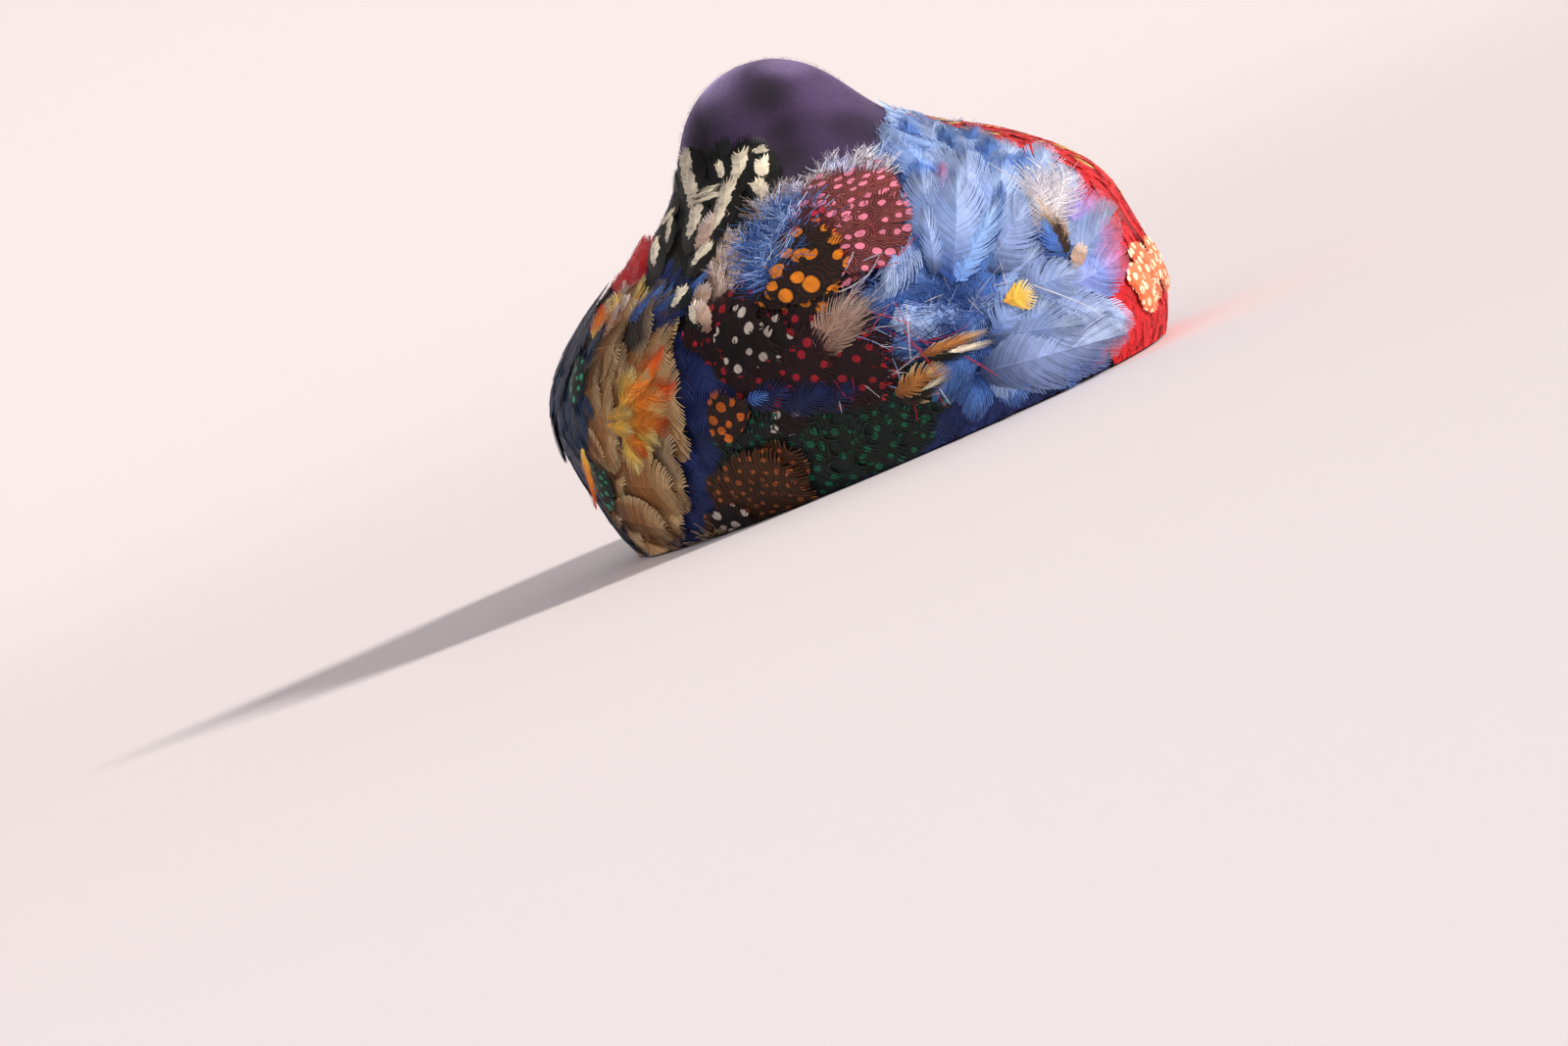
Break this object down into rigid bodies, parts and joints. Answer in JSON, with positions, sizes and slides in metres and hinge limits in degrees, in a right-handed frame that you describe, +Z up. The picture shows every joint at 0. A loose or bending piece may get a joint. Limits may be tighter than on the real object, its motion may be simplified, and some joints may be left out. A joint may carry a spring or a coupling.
{
  "type": "feather hat",
  "caption": "Brimless bell-shaped felt hat with a bare rounded top, its sides covered with pasted patches of dyed and spotted feathers; worn on the head.",
  "frame": {"origin": "the middle of the rim, on the surface that the hat rests on", "axes": "+Z up to the rounded top, -Y to the front of the hat, -X to the wearer's right"},
  "size_m": [0.1806, 0.1884, 0.1236],
  "materials": {
    "plum_felt": "brushed wool felt, plum, matt with a soft nap",
    "navy_feather": "dyed navy feathers, satin",
    "red_feather": "dyed red feathers, satin",
    "scarlet_feather": "dyed scarlet and ochre feathers, satin",
    "teal_feather": "dyed teal and navy feathers, satin",
    "green_spot_feather": "dark feathers with small green spots",
    "blue_feather": "dyed cornflower blue vane feathers, satin",
    "pink_spot_feather": "burgundy feathers with pink spots",
    "orange_spot_feather": "black feathers with orange spots",
    "red_spot_feather": "dark feathers with red and white spots",
    "brown_spot_feather": "brown feathers with fine orange spots",
    "blue_down": "soft blue down",
    "black_cream_feather": "black feathers with cream streaks",
    "tan_feather": "tan feathers with orange and yellow fans"
  },
  "bodies": {
    "root": {"felt_crown": "plum_felt", "navy_ground_feathers": "navy_feather", "red_front_feathers": "red_feather", "red_top_feathers": "scarlet_feather", "teal_back_feathers": "teal_feather", "green_back_feathers": "green_spot_feather", "blue_right_feathers": "blue_feather", "blue_left_feathers": "blue_feather", "pink_spot_right_feathers": "pink_spot_feather", "pink_spot_left_feathers": "pink_spot_feather", "orange_spot_right_feathers": "orange_spot_feather", "orange_spot_left_feathers": "orange_spot_feather", "red_spot_right_feathers": "red_spot_feather", "red_spot_left_feathers": "red_spot_feather", "green_spot_right_feathers": "green_spot_feather", "green_spot_left_feathers": "green_spot_feather", "brown_spot_right_feathers": "brown_spot_feather", "brown_spot_left_feathers": "brown_spot_feather", "blue_down_right_feathers": "blue_down", "blue_down_left_feathers": "blue_down", "black_cream_right_feathers": "black_cream_feather", "black_cream_left_feathers": "black_cream_feather", "tan_fan_right_feathers": "tan_feather", "tan_fan_left_feathers": "tan_feather", "red_back_right_feathers": "scarlet_feather", "red_back_left_feathers": "scarlet_feather"}
  },
  "joints": []
}
